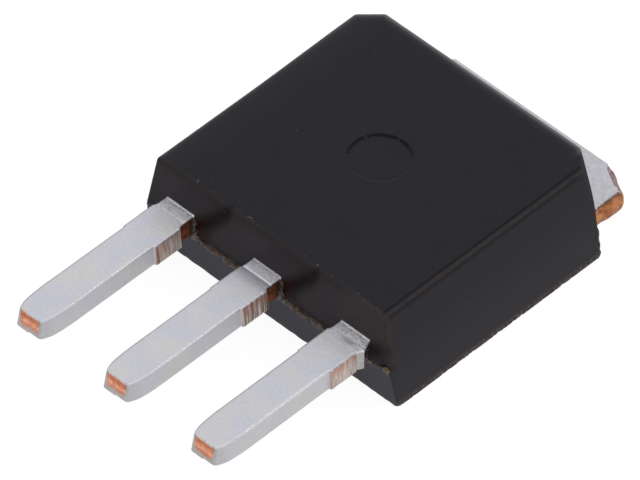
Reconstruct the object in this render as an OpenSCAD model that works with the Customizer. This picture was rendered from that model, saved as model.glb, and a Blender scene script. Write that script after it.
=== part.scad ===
// Moulded power transistor: a copper strip stamped into a tab, a paddle and three flat leads, with a
// silicon die soldered to the paddle, bond wires, and an epoxy body moulded round them.
// +X runs across the leads, +Y from the lead tips to the tab, +Z out of the moulded front.
// The back of the tab lies on Z = 0, and the origin is under the middle of the body.

/* [Moulded body] */
// Thickness of the body, from the back of the tab to the moulded front
body_h = 2.28; // [2.2:0.02:2.6]
// Width of the body across its foot
body_w = 6.6; // [6.4:0.02:7]
// Length of the body, from the parting line of the lead wall to the foot of the rear wall
body_l = 6.13; // [5.8:0.01:6.6]
// Lean of the two side walls, in degrees
side_draft = 8; // [3:0.1:12]
// Lean of the lead wall above the parting line, in degrees
front_draft = 5.2; // [1:0.1:9]
// Lean of the lead wall below the parting line, in degrees
under_draft = 9.5; // [3:0.1:14]
// Lean of the rear wall, in degrees
rear_draft = 6; // [3:0.1:12]
// Flat across each rear corner, measured along the wall
corner_cut = 0.45; // [0.2:0.01:0.7]
// Rounding of the long edges
edge_r = 0.12; // [0.03:0.01:0.16]
// Diameter of the shallow mark that the ejector pin leaves in the moulded front
pin_mark_d = 1.2; // [0.8:0.02:2]
// Depth of the ejector mark
pin_mark_depth = 0.03; // [0.01:0.01:0.08]
// How far the resin flash stands out along the parting line
flash_out = 0.07; // [0.02:0.01:0.15]
// Thickness of the flash
flash_t = 0.03; // [0.02:0.01:0.06]

/* [Strip and leads] */
// Thickness of the copper strip that the tab and the leads are stamped from
strip_t = 0.48; // [0.4:0.01:0.56]
// Spacing of the leads
pitch = 2.286; // [2.1:0.002:2.4]
// Height of the lower face of the leads above the back of the tab
lead_rise = 1; // [0.8:0.02:1.1]
// Length of a lead outside the body
lead_l = 4; // [3:0.05:9]
// Width of a lead along its straight stretch
lead_w = 0.78; // [0.6:0.01:0.9]
// Width of a lead where it leaves the body
root_w = 0.73; // [0.6:0.01:0.9]
// Distance from the body to the sheared stub of the dam bar
dam_gap = 0.38; // [0.1:0.02:0.5]
// Length of the dam bar's stub along the lead
dam_l = 0.68; // [0.5:0.02:1.4]
// How far the stub stands out from each side of the lead
dam_out = 0.03; // [0.01:0.005:0.08]
// Width of a lead at its tip
tip_w = 0.52; // [0.3:0.01:0.6]
// Length over which a lead narrows to its tip
tip_l = 0.8; // [0.4:0.02:1.2]
// How far the sheared end of a tip leans back at its upper edge
tip_lean = 0.05; // [0.01:0.01:0.12]

/* [Paddle and tab] */
// Width of the paddle and of the tab
tab_w = 5.36; // [5:0.02:5.5]
// How far the tab stands out past the foot of the rear wall
tab_l = 1.14; // [0.8:0.02:1.6]
// Length of the slanted cut at each tab corner, measured across the tab
tab_cut_x = 0.66; // [0.2:0.02:1]
// Length of the slanted cut at each tab corner, measured along the tab
tab_cut_y = 0.38; // [0.1:0.02:0.8]
// Length of the paddle inside the body
paddle_l = 4.1; // [3.6:0.02:4.3]
// Width of the lip along each side of the paddle that the resin holds
lip_w = 0.24; // [0.1:0.02:0.4]
// Height of the resin under the lip
lip_rise = 0.2; // [0.1:0.01:0.3]
// Length of full-thickness paddle between the lip and the foot of the rear wall
lip_end = 0.4; // [0.2:0.02:0.8]
// Width of the neck that joins the paddle to the middle lead
neck_w = 1; // [0.8:0.02:1.2]
// Angle at which the neck climbs, in degrees
neck_angle = 50; // [42:1:60]
// Inside radius of the neck's two bends
bend_r = 0.25; // [0.1:0.01:0.35]

/* [Bond posts] */
// Width of the bond post at the inner end of each outer lead
post_w = 1.5; // [1.2:0.02:1.6]
// Length of the bond post
post_l = 1; // [0.8:0.02:1.1]
// Length of lead between the lead wall and the post
post_set = 0.5; // [0.3:0.02:0.6]
// How far the post reaches out past the outer side of its lead
post_ear = 0.1; // [0.04:0.01:0.14]
// Flat cut across the post's inner corner
post_cut = 0.25; // [0.1:0.01:0.4]

/* [Die and bonds] */
// Width of the silicon die
die_w = 2.2; // [1.8:0.05:2.8]
// Length of the silicon die
die_l = 2; // [1.6:0.05:2.4]
// Thickness of the silicon die
die_t = 0.25; // [0.15:0.01:0.35]
// Distance from the paddle's front edge to the die
die_set = 0.6; // [0.4:0.05:1]
// Thickness of the solder under the die
solder_t = 0.05; // [0.03:0.01:0.08]
// Width of the solder's rim round the die
solder_rim = 0.1; // [0.05:0.01:0.2]
// Diameter of the base wire
base_wire_d = 0.2; // [0.1:0.01:0.25]
// Diameter of each of the two emitter wires
emitter_wire_d = 0.3; // [0.2:0.01:0.35]
// Distance between the two emitter wires
emitter_wire_gap = 0.62; // [0.5:0.02:0.7]
// Distance from the die's edges to the base bond
bond_inset = 0.45; // [0.35:0.01:0.6]
// Height of a wire's loop above the straight line between its two feet
loop_rise = 0.5; // [0.35:0.01:0.6]

/* [Hidden] */
$fn = 48;
// Straight pieces in a rounded edge or a bend, and in one side of a lead's tip
arc_steps = 6;
tip_steps = 8;
// How far a cutting shape runs on past what it cuts
past = 1;

front_y = -body_l / 2;
rear_y = body_l / 2;
tip_y = front_y - lead_l;
tab_y = rear_y + tab_l;
paddle_y = rear_y - paddle_l;
lead_top = lead_rise + strip_t;

top_half_w = body_w / 2 - body_h * tan(side_draft);
top_front_y = front_y + (body_h - lead_rise) * tan(front_draft);
top_rear_y = rear_y - body_h * tan(rear_draft);
foot_front_y = front_y + lead_rise * tan(under_draft);
corner_lean = (tan(side_draft) + tan(rear_draft)) / sqrt(2);

bend_mid_r = bend_r + strip_t / 2;
neck_straight = (lead_rise - 2 * bend_mid_r * (1 - cos(neck_angle))) / sin(neck_angle);
neck_run = 2 * bend_mid_r * sin(neck_angle) + neck_straight * cos(neck_angle);

post_out = pitch + lead_w / 2 + post_ear;
post_front_y = front_y + post_set;
bond_y = post_front_y + post_l / 2;

die_y = paddle_y + die_set + die_l / 2;
die_z = strip_t + solder_t;
die_top = die_z + die_t;
// Shape of a bond's flattened foot, in wire diameters: its height, its width and its half length
foot_squash = 0.5;
foot_spread = 1.35;
foot_reach = 1.1;

tinned = [0.77, 0.76, 0.79];
resin = [0.17, 0.17, 0.19];
silicon = [0.42, 0.44, 0.5];
solder_grey = [0.62, 0.63, 0.65];
aluminium = [0.85, 0.86, 0.88];

// Points of the arc about a centre, from one angle to another
function arc(centre, r, from, to) =
    [for (i = [0:arc_steps]) let (q = from + (to - from) * i / arc_steps) centre + r * [cos(q), sin(q)]];

// Points of the arc that rounds corner b of the path a, b, c
function arc_corner(a, b, c, r) =
    let (
        u = (a - b) / norm(a - b),
        v = (c - b) / norm(c - b),
        half = acos(u * v) / 2,
        centre = b + (u + v) / norm(u + v) * r / sin(half),
        from = b + u * r / tan(half) - centre,
        to = b + v * r / tan(half) - centre,
        start = atan2(from[1], from[0]),
        turn = atan2(to[1], to[0]) - start,
        sweep = turn > 180 ? turn - 360 : turn < -180 ? turn + 360 : turn
    )
    arc(centre, r, start, start + sweep);

function rounded(points, radii) =
    let (n = len(points))
    [for (i = [0:n - 1]) each radii[i] == 0 ? [points[i]] :
        arc_corner(points[(i + n - 1) % n], points[i], points[(i + 1) % n], radii[i])];

function mirrored(half) = concat(half, [for (i = [len(half) - 1:-1:0]) [-half[i][0], half[i][1]]]);

// Right half of a lead's outline, from its tip to the body: a tip that narrows along a quarter
// ellipse, the straight stretch, the stub of the dam bar and the slightly narrower root
function lead_half() = concat(
    [for (i = [0:tip_steps]) let (t = 1 - i / tip_steps)
        [tip_w / 2 + (lead_w - tip_w) / 2 * sqrt(1 - t * t), tip_y + tip_l * (1 - t)]],
    [
        [lead_w / 2, front_y - dam_gap - dam_l],
        [lead_w / 2 + dam_out, front_y - dam_gap - dam_l + dam_out],
        [lead_w / 2 + dam_out, front_y - dam_gap - dam_out],
        [root_w / 2, front_y - dam_gap]
    ]);

module along_y(length) {
    rotate([90, 0, 0])
        linear_extrude(height = length, center = true) children();
}

module along_x(length) {
    rotate([90, 0, 90])
        linear_extrude(height = length, center = true) children();
}

module lead_blank(inner_y) {
    polygon(mirrored(concat(lead_half(), [[root_w / 2, inner_y]])));
}

// The drafted block: side walls in one profile, lead wall and rear wall in another, and the two rear
// corners in a third, each with its rounded top edge
module drafted_block() {
    intersection() {
        along_y(2 * body_l)
            polygon(rounded([[-body_w / 2, 0], [body_w / 2, 0], [top_half_w, body_h], [-top_half_w, body_h]],
                [0, 0, edge_r, edge_r]));
        along_x(2 * body_w)
            polygon(rounded([[foot_front_y, 0], [rear_y, 0], [top_rear_y, body_h], [top_front_y, body_h],
                [front_y, lead_rise]], [edge_r, 0, edge_r, edge_r, 0]));
        for_corners();
    }
}

module for_corners() {
    foot = (body_w / 2 + rear_y - corner_cut) / sqrt(2);
    intersection() {
        for_corner(foot, 45);
        for_corner(foot, 135);
    }
}

module for_corner(foot, turn) {
    rotate([0, 0, turn])
        along_y(4 * body_l)
            polygon(rounded([[-2 * body_l, 0], [foot, 0], [foot - body_h * corner_lean, body_h],
                [-2 * body_l, body_h]], [0, 0, edge_r, 0]));
}

// Thin web of resin squeezed out along the parting line, between and beside the leads
module flash_web() {
    reach = body_w / 2 - lead_rise * tan(side_draft);
    translate([-reach, front_y - flash_out, lead_rise - flash_t])
        cube([2 * reach, flash_out + past, flash_t]);
}

module mould_body() {
    color(resin)
        difference() {
            union() {
                drafted_block();
                flash_web();
            }
            translate([0, 0, body_h - pin_mark_depth])
                cylinder(d = pin_mark_d, h = past);
            collector_frame();
            base_lead();
            emitter_lead();
            die_solder();
            silicon_die();
            base_wire();
            emitter_wire_1();
            emitter_wire_2();
        }
}

// Side view of the folded strip, with its thickness constant round both bends
module folded_side() {
    low = [paddle_y, bend_r + strip_t];
    high = [paddle_y - neck_run, lead_rise - bend_r];
    polygon(concat(
        [[tab_y + past, 0]],
        arc(low, bend_r + strip_t, -90, -90 - neck_angle),
        arc(high, bend_r, 90 - neck_angle, 90),
        [[tip_y, lead_rise], [tip_y + tip_lean, lead_top]],
        arc(high, bend_r + strip_t, 90, 90 - neck_angle),
        arc(low, bend_r, -90 - neck_angle, -90),
        [[tab_y + past, strip_t]]));
}

module paddle_outline() {
    polygon(mirrored([
        [tab_w / 2, paddle_y],
        [tab_w / 2, tab_y - tab_cut_y],
        [tab_w / 2 - tab_cut_x, tab_y]
    ]));
}

module collector_frame() {
    color(tinned)
        difference() {
            intersection() {
                along_x(2 * tab_w) folded_side();
                linear_extrude(height = lead_top + past) {
                    paddle_outline();
                    lead_blank(paddle_y + past);
                    translate([-neck_w / 2, paddle_y - neck_run])
                        square([neck_w, neck_run + past]);
                }
            }
            for (side = [-1, 1])
                translate([side > 0 ? tab_w / 2 - lip_w : -tab_w / 2 - past, paddle_y - past, -past])
                    cube([lip_w + past, paddle_l - lip_end + past, lip_rise + past]);
        }
}

// Side view of a flat lead with its sheared end
module flat_side() {
    polygon([[tip_y, lead_rise], [0, lead_rise], [0, lead_top], [tip_y + tip_lean, lead_top]]);
}

module post_outline() {
    polygon([
        [post_out, post_front_y],
        [post_out, post_front_y + post_l],
        [post_out - post_w + post_cut, post_front_y + post_l],
        [post_out - post_w, post_front_y + post_l - post_cut],
        [post_out - post_w, post_front_y]
    ]);
}

// An outer lead with its bond post, drawn for the right-hand side
module outer_lead() {
    intersection() {
        along_x(2 * body_w) flat_side();
        linear_extrude(height = lead_top + past) {
            translate([pitch, 0])
                lead_blank(post_front_y + post_l / 2);
            post_outline();
        }
    }
}

module base_lead() {
    color(tinned)
        mirror([1, 0, 0]) outer_lead();
}

module emitter_lead() {
    color(tinned)
        outer_lead();
}

module silicon_die() {
    color(silicon)
        translate([-die_w / 2, die_y - die_l / 2, die_z])
            cube([die_w, die_l, die_t]);
}

module die_solder() {
    color(solder_grey)
        translate([-die_w / 2 - solder_rim, die_y - die_l / 2 - solder_rim, strip_t])
            cube([die_w + 2 * solder_rim, die_l + 2 * solder_rim, solder_t]);
}

// Foot of a wedge bond: the wire pressed flat, longer than it is wide
module bond_foot(d) {
    linear_extrude(height = d * foot_squash) {
        square([2 * foot_reach * d, foot_spread * d], center = true);
        for (side = [-1, 1])
            translate([side * foot_reach * d, 0])
                circle(d = foot_spread * d);
    }
}

// A round wire of diameter d in one arc from the surface at a to the surface at b, with a flattened
// foot at each end
module bond_wire(a, b, d) {
    run = norm([b[0] - a[0], b[1] - a[1]]);
    climb = b[2] - a[2];
    chord = norm([run, climb]);
    slope = atan2(climb, run);
    arc_r = chord * chord / (8 * loop_rise) + loop_rise / 2;
    half = asin(chord / 2 / arc_r);
    foot_h = d * foot_squash;
    below = [sin(slope), -cos(slope)] * (arc_r - loop_rise);
    translate(a)
        rotate([0, 0, atan2(b[1] - a[1], b[0] - a[0])])
            difference() {
                union() {
                    translate([run / 2 + below[0], 0, climb / 2 + foot_h / 2 + below[1]])
                        rotate([90, 0, 0])
                            rotate([0, 0, 90 + slope - half])
                                rotate_extrude(angle = 2 * half)
                                    translate([arc_r, 0])
                                        circle(d = d);
                    bond_foot(d);
                    translate([run, 0, climb])
                        bond_foot(d);
                }
                translate([-2 * d, -d, -2 * d])
                    cube([4 * d, 2 * d, 2 * d]);
                translate([run - 2 * d, -d, climb - 2 * d])
                    cube([4 * d, 2 * d, 2 * d]);
            }
}

module base_wire() {
    color(aluminium)
        bond_wire(
            [-die_w / 2 + bond_inset, die_y - die_l / 2 + bond_inset, die_top],
            [-post_out + post_w / 2, bond_y, lead_top],
            base_wire_d);
}

module emitter_wire(side) {
    across = side * emitter_wire_gap / 2;
    color(aluminium)
        bond_wire(
            [die_w / 4 + across, die_y - die_l / 2 + 1.5 * bond_inset, die_top],
            [post_out - post_w / 2 + across, bond_y, lead_top],
            emitter_wire_d);
}

module emitter_wire_1() {
    emitter_wire(-1);
}

module emitter_wire_2() {
    emitter_wire(1);
}

mould_body();
collector_frame();
base_lead();
emitter_lead();
silicon_die();
die_solder();
base_wire();
emitter_wire_1();
emitter_wire_2();
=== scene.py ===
"""Moulded power transistor lying on its metal back: resin body, tinned strip with tab, three flat leads."""
import math

import bmesh
import bpy
from mathutils import Matrix, Vector, noise


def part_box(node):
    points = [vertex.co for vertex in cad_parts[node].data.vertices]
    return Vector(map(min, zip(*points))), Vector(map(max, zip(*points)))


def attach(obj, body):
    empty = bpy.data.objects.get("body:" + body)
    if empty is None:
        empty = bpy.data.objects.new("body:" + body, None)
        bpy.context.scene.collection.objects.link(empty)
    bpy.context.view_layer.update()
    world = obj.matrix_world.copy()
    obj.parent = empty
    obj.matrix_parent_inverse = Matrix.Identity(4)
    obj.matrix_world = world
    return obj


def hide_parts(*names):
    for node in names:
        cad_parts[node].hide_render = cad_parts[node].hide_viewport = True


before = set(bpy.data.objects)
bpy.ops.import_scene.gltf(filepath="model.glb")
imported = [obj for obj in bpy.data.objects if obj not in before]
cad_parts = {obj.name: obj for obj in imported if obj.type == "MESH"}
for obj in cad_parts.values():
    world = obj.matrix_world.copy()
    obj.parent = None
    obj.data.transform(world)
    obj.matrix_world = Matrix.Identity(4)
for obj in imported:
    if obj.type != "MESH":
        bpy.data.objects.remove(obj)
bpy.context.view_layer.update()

# Sizes are in millimetres and turned into metres when a piece is finished
MM = 0.001


def box_mm(node):
    """The box of a solid in millimetres"""
    low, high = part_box(node)
    return low / MM, high / MM


# The boxes of the solids give the main sizes
body_low, body_high = box_mm("mould_body")
strip_low, strip_high = box_mm("collector_frame")
lead_low, lead_high = box_mm("emitter_lead")

FLASH_OUT = 0.07
HALF_W = body_high.x
BODY_H = body_high.z
REAR_Y = body_high.y
FRONT_Y = body_low.y + FLASH_OUT
LEAD_TOP = strip_high.z
LEAD_UNDER = lead_low.z
STRIP_T = LEAD_TOP - LEAD_UNDER
TIP_Y = strip_low.y
TAB_Y = strip_high.y
TAB_HALF = strip_high.x
PITCH = 2.286

# Walls of the body: the right one is steep under the parting line, bends softly and leans more above it
LEFT_DRAFT = math.radians(8)
RIGHT_DRAFT = math.radians(11.7)
RIGHT_UNDER_DRAFT = math.radians(3.1)
RIGHT_BEND = 0.9
FRONT_DRAFT = math.radians(5.2)
UNDER_DRAFT = math.radians(9.5)
REAR_DRAFT = math.radians(6)
FOOT_FRONT_Y = FRONT_Y + LEAD_UNDER * math.tan(UNDER_DRAFT)

# Corners and edges of the body
CORNER_CUT = 0.45
LEFT_CUT = 0.41
UPRIGHT_ROUND_REAR = 0.04
UPRIGHT_ROUND_FRONT = 0.035
OUTLINE_STEP = 0.045
TOP_ROUND = 0.12
REAR_ROUND = 0.035
ROUND_TURNS = 10
FOOT_ROUND = 0.008

# Wear of the foot, and the lumps of flash on the flat at the rear right
CHIP_IN = 0.018
CHIP_H = 0.1
FRONT_CHIP_IN = 0.02
FRONT_CHIP_H = 0.08
BLUNT_CORNER = 0.065
BLUNT_H = 0.14
LUMP_OUT = 0.06
LUMPS_TOP = 0.7

# Ring that the ejector pin left: gaps from its radius and heights over the top face
PIN_MARK_R = 0.615
PIN_MARK_AT = (0.04, -0.05)
PIN_MARK_PROFILE = (
    (0.06, 0), (0.022, -0.0005), (0.012, -0.003), (-0.014, -0.02), (-0.024, -0.023), (-0.06, -0.023),
)

# Parting flash
FLASH_ROOT = 0.03
FLASH_THICK = 0.17
FLASH_THINNER = 0.06
FLASH_BELOW = 0.045
FLASH_END_RISE = 0.08
CRUST_OUT = 0.06
CRUST_LOW = LEAD_UNDER - 0.05

# Leads: half widths, and stations along them
LEAD_HALF = 0.385
ROOT_HALF = 0.365
TIP_HALF = 0.255
RIGHT_STUB_HALF = 0.42
LEFT_STUB_HALF = 0.408
TIP_L = 0.8
TIP_LEAN = 0.05
STUB_FROM = FRONT_Y - 0.38
STUB_TO = STUB_FROM - 0.68
COIN_Y = FRONT_Y - 0.235
LEAD_EDGE_R = 0.032
TIP_EDGE_MORE = 0.04
TOP_SETTLE = 0.004
DENT_AT = (0.11, FRONT_Y - 0.22)

# Bond posts inside the body
POST_Y = FRONT_Y + 0.5
POST_L = 1.0
POST_OUT = lead_high.x - PITCH
POST_IN = PITCH - lead_low.x
POST_CUT = 0.25

# Paddle, tab and neck
PADDLE_Y = REAR_Y - 4.1
LIP_W = 0.24
LIP_RISE = 0.2
LIP_END_Y = REAR_Y - 0.4
TAB_CUT_X = 0.66
TAB_CUT_Y = 0.38
CUT_FROM_Y = TAB_Y - TAB_CUT_Y
GREY_FROM_Y = CUT_FROM_Y + 0.045
TAB_EDGE_R = 0.04
TAB_BULGE = 0.045
SIDE_BULGE = 0.07
NECK_HALF = 0.5
NECK_ANGLE = math.radians(50)
BEND_R = 0.25
BEND_MID_R = BEND_R + STRIP_T / 2
BEND_STEPS = 6
NECK_STRAIGHT = (LEAD_UNDER - 2 * BEND_MID_R * (1 - math.cos(NECK_ANGLE))) / math.sin(NECK_ANGLE)
NECK_RUN = 2 * BEND_MID_R * math.sin(NECK_ANGLE) + NECK_STRAIGHT * math.cos(NECK_ANGLE)
NECK_Y = PADDLE_Y - NECK_RUN


# Small tools


def wobble(x, y=0.0, z=0.0, fine=1.0, seed=0.0):
    """Smooth noise from -1 to 1, with fine bumps per millimetre"""
    return noise.noise(Vector((x * fine + seed, y * fine - seed, z * fine + 7.3 * seed)))


def rise(value, low, high):
    """0 below low, 1 above high, with a smooth rise between them"""
    t = min(1.0, max(0.0, (value - low) / (high - low)))
    return t * t * (3 - 2 * t)


def fall(value, low, high):
    """1 below low, 0 above high, with a smooth fall between them"""
    return 1 - rise(value, low, high)


def between(value, *points):
    """Straight lines from point to point"""
    for (start, a), (end, b) in zip(points, points[1:]):
        if value <= end:
            return a + (b - a) * min(1.0, max(0.0, (value - start) / (end - start)))
    return points[-1][1]


def inside(value, low, high, soft):
    """1 between low and high, with soft edges"""
    return rise(value, low - soft, low + soft) * fall(value, high - soft, high + soft)


def steps(*stops):
    """Stations from stop to stop; each stop after the first is its place and the spacing up to it"""
    stations = [stops[0]]
    for place, spacing in stops[1:]:
        start = stations[-1]
        count = max(1, round(abs(place - start) / spacing))
        stations += [start + (place - start) * i / count for i in range(1, count + 1)]
    return stations


def grid_block(xs, ys, zs):
    """A closed block cut into a grid at the given stations"""
    bm = bmesh.new()
    bmesh.ops.create_cube(bm, size=2)
    for axis, stations in enumerate((xs, ys, zs)):
        along = [e for e in bm.edges if abs(e.verts[0].co[axis] - e.verts[1].co[axis]) > 1.5]
        if len(stations) > 2:
            bmesh.ops.subdivide_edges(bm, edges=along, cuts=len(stations) - 2, use_grid_fill=True)
    for v in bm.verts:
        for axis, stations in enumerate((xs, ys, zs)):
            v.co[axis] = stations[round((v.co[axis] + 1) / 2 * (len(stations) - 1))]
    return bm


def next_ring(bm, loop, origin):
    """Extrudes a loop of edges in place; each new point remembers the place that its column started from"""
    old = {v for e in loop for v in e.verts}
    grown = bmesh.ops.extrude_edge_only(bm, edges=loop)["geom"]
    ring = [g for g in grown if isinstance(g, bmesh.types.BMVert)]
    for v in ring:
        origin[v] = origin[next(e.other_vert(v) for e in v.link_edges if e.other_vert(v) in old)]
    new = set(ring)
    edges = [g for g in grown if isinstance(g, bmesh.types.BMEdge)]
    return ring, [e for e in edges if e.verts[0] in new and e.verts[1] in new]


def take_in(bm, other):
    """Moves the mesh of another bmesh into this one"""
    held = bpy.data.meshes.new("held")
    other.to_mesh(held)
    other.free()
    bm.from_mesh(held)
    bpy.data.meshes.remove(held)


def round_corner(gaps, radius):
    """Moves a point near an edge on to the edge's rounding; gaps are its distances in from each face"""
    reach = [max(0.0, radius - gap) for gap in gaps]
    length = math.sqrt(sum(r * r for r in reach))
    if length <= radius:
        return gaps
    return [gap if r == 0 else radius - r * radius / length for gap, r in zip(gaps, reach)]


def new_object(bm, name):
    """An object with the mesh of a bmesh, in the scene"""
    mesh = bpy.data.meshes.new(name)
    bm.to_mesh(mesh)
    bm.free()
    made = bpy.data.objects.new(name, mesh)
    bpy.context.scene.collection.objects.link(made)
    return made


def finished(bm, name, material, slot, *nodes, sharp=40):
    """Turns a mesh in millimetres into a piece that rides on the part"""
    bmesh.ops.scale(bm, vec=(MM, MM, MM), verts=bm.verts)
    piece = new_object(bm, name)
    piece.data.materials.append(material)
    piece.data.polygons.foreach_set("use_smooth", [True] * len(piece.data.polygons))
    piece.data.set_sharp_from_angle(angle=math.radians(sharp))
    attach(piece, "root")
    if nodes:
        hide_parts(*nodes)
    return piece


def paint(piece, *rules):
    """Gives each point of the piece the values that its material reads by the rules' names"""
    for rule in rules:
        values = piece.data.attributes.new(rule.__name__, "FLOAT", "POINT")
        values.data.foreach_set("value", [rule(v.co / MM) for v in piece.data.vertices])


# Material tools

# Sockets of the colour mixing node
MIX_SHARE = 0
MIX_A = 6
MIX_B = 7
MIX_RESULT = 2


def colour(red, green, blue):
    """A colour as a screen shows it, from 0 to 255, turned into the shader's own scale"""
    shares = [c / 255 for c in (red, green, blue)]
    return tuple(s / 12.92 if s <= 0.04045 else ((s + 0.055) / 1.055) ** 2.4 for s in shares) + (1.0,)


def plug(tree, socket, value):
    """Links another node's output to a socket, or sets the socket to a plain value"""
    if isinstance(value, bpy.types.NodeSocket):
        tree.links.new(value, socket)
    else:
        socket.default_value = value


def add(tree, kind, inputs=(), **settings):
    """Adds a node with its settings and inputs"""
    node = tree.nodes.new(kind)
    for key, value in settings.items():
        setattr(node, key, value)
    for key, value in dict(inputs).items():
        plug(tree, node.inputs[key], value)
    return node


def new_material(name):
    """A material, its tree, its shader and the places of the piece's own points"""
    material = bpy.data.materials.new(name)
    material.use_nodes = True
    tree = material.node_tree
    place = add(tree, "ShaderNodeTexCoord").outputs["Object"]
    return material, tree, tree.nodes["Principled BSDF"], place


def grain(tree, place, per_mm, detail=2.0, stretch=(1, 1, 1), shift=(0, 0, 0)):
    """A cloudy pattern with so many bumps per millimetre"""
    moved = add(tree, "ShaderNodeMapping", {"Vector": place, "Scale": stretch, "Location": shift})
    inputs = {"Vector": moved.outputs["Vector"], "Scale": per_mm / MM, "Detail": detail}
    return add(tree, "ShaderNodeTexNoise", inputs).outputs["Fac"]


def ramp(tree, value, low, high, to_low=0.0, to_high=1.0):
    """A smooth rise of a value between two of its levels"""
    inputs = {"Value": value, "From Min": low, "From Max": high, "To Min": to_low, "To Max": to_high}
    return add(tree, "ShaderNodeMapRange", inputs, interpolation_type="SMOOTHSTEP").outputs["Result"]


def sums(tree, operation, a, b):
    """Two values put together by an operation"""
    return add(tree, "ShaderNodeMath", {0: a, 1: b}, operation=operation).outputs["Value"]


def blend(tree, share, a, b):
    """Two colours mixed by a share"""
    node = add(tree, "ShaderNodeMix", {MIX_SHARE: share, MIX_A: a, MIX_B: b}, data_type="RGBA")
    return node.outputs[MIX_RESULT]


def value_of(tree, name):
    """A value painted on the piece's points"""
    return add(tree, "ShaderNodeAttribute", attribute_name=name).outputs["Fac"]


def broken(tree, name, pattern, *levels):
    """A painted value, broken up by a rise in a pattern"""
    return sums(tree, "MULTIPLY", value_of(tree, name), ramp(tree, pattern, *levels))


def frayed(tree, name, pattern, low, high):
    """A painted value with its border frayed by a pattern"""
    return ramp(tree, sums(tree, "ADD", value_of(tree, name), pattern), low, high)


def tones(tree, pattern, a, b, low=0.35, high=0.65):
    """Two colours, from 0 to 255, that follow a pattern"""
    return blend(tree, ramp(tree, pattern, low, high), colour(*a), colour(*b))


def coat(tree, base, share, *tone):
    """A colour, from 0 to 255, laid over a base by a share"""
    return blend(tree, share, base, colour(*tone))


def roughen(tree, shader, height, depth, strength=1.0, under=None):
    """Bumps of a depth in millimetres, on top of others if they are given"""
    inputs = {"Height": height, "Distance": depth * MM, "Strength": strength}
    if under is not None:
        inputs["Normal"] = under
    normal = add(tree, "ShaderNodeBump", inputs).outputs["Normal"]
    tree.links.new(normal, shader.inputs["Normal"])
    return normal


def set_up(tree, shader, **inputs):
    """Sets sockets of a shader, named with an underscore for each space"""
    for key, value in inputs.items():
        plug(tree, shader.inputs[key.replace("_", " ")], value)


def looked_at(tree):
    """1 for the rays that show the background itself: straight, mirrored or through glass"""
    rays = add(tree, "ShaderNodeLightPath").outputs
    seen = sums(tree, "MAXIMUM", rays["Is Camera Ray"], rays["Is Glossy Ray"])
    return sums(tree, "MAXIMUM", seen, rays["Is Transmission Ray"])


# Materials


def moulded_resin():
    """Black epoxy with a fine matte grain, ragged along its edges, with painted light: lighter walls, painted
    red-brown reflections and shade of the leads on the lead wall, painted highlights and shade along the top
    edges
    """
    material, tree, shader, place = new_material("moulded_resin")
    cloud = grain(tree, place, 0.9, 3)
    patch = grain(tree, place, 2.3, 2, shift=(0.004, 0, 0))
    fine = grain(tree, place, 28, 2)
    base = tones(tree, cloud, (43, 43, 47), (44, 43, 49))
    base = coat(tree, base, ramp(tree, patch, 0.55, 0.75, 0, 0.5), 44, 43, 45)
    # Painted light: the side wall is a lighter copy of the resin's colour, for the light it catches from the
    # card
    base = coat(tree, base, value_of(tree, "side_wall"), 51, 49, 53)
    # Painted shade: the upper part of the side wall is darker
    base = coat(tree, base, value_of(tree, "upper_wall_shade"), 30, 27, 30)
    # Painted light: the lead wall is a lighter, warmer copy of the resin's colour, for the light it reflects
    base = coat(tree, base, value_of(tree, "lead_wall"), 51, 48, 51)
    # Painted reflection and shade of the leads on the lead wall: dark red-brown patches beside the roots, a
    # band above the flash, a faint tone near the top
    base = coat(tree, base, value_of(tree, "lead_reflection_and_shade"), 15, 3, 1)
    # Painted light: the under wall is a much lighter copy of the resin's colour, for the light the card
    # throws up on it
    base = coat(tree, base, value_of(tree, "under_wall"), 69, 68, 76)
    base = coat(tree, base, ramp(tree, grain(tree, place, 17, 1), 0.76, 0.8), 70, 68, 72)
    # Painted reflection of the copper roots on the resin beside them
    base = coat(tree, base, value_of(tree, "copper_root_reflection"), 44, 16, 10)
    dirt = tones(tree, grain(tree, place, 14, 2), (90, 68, 56), (106, 99, 97), 0.42, 0.58)
    base = blend(tree, broken(tree, "ragged", fine, 0.38, 0.6), base, dirt)
    # Painted highlight along the rear and left top edges
    base = coat(tree, base, value_of(tree, "far_edge_highlight"), 116, 112, 114)
    # Painted shade: dark lines along the right edge's rounding and on the far half of the ejector ring
    shade = broken(tree, "shade_line", patch, 0.2, 0.5, 0.6, 1)
    shade = sums(tree, "MULTIPLY", shade, ramp(tree, fine, 0.2, 0.5, 0.5, 0.8))
    base = coat(tree, base, shade, 9, 9, 9)
    # Painted highlight along the top edges' rounding, and a lighter patch high on the lead wall
    base = coat(tree, base, broken(tree, "edge_highlight_and_patch", grain(tree, place, 10, 3), 0.2, 0.55), 60, 54, 54)
    base = coat(tree, base, broken(tree, "specks", grain(tree, place, 13, 2), 0.62, 0.72), 88, 84, 84)
    rough = sums(tree, "MAXIMUM", ramp(tree, fine, 0.3, 0.7, 0.27, 0.37), value_of(tree, "coarse"))
    set_up(tree, shader, Base_Color=base, Roughness=rough, Specular_IOR_Level=0.03)
    coarse = roughen(tree, shader, patch, 0.003, 0.4)
    roughen(tree, shader, grain(tree, place, 45, 2), 0.0012, 0.5, coarse)
    return material


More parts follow.
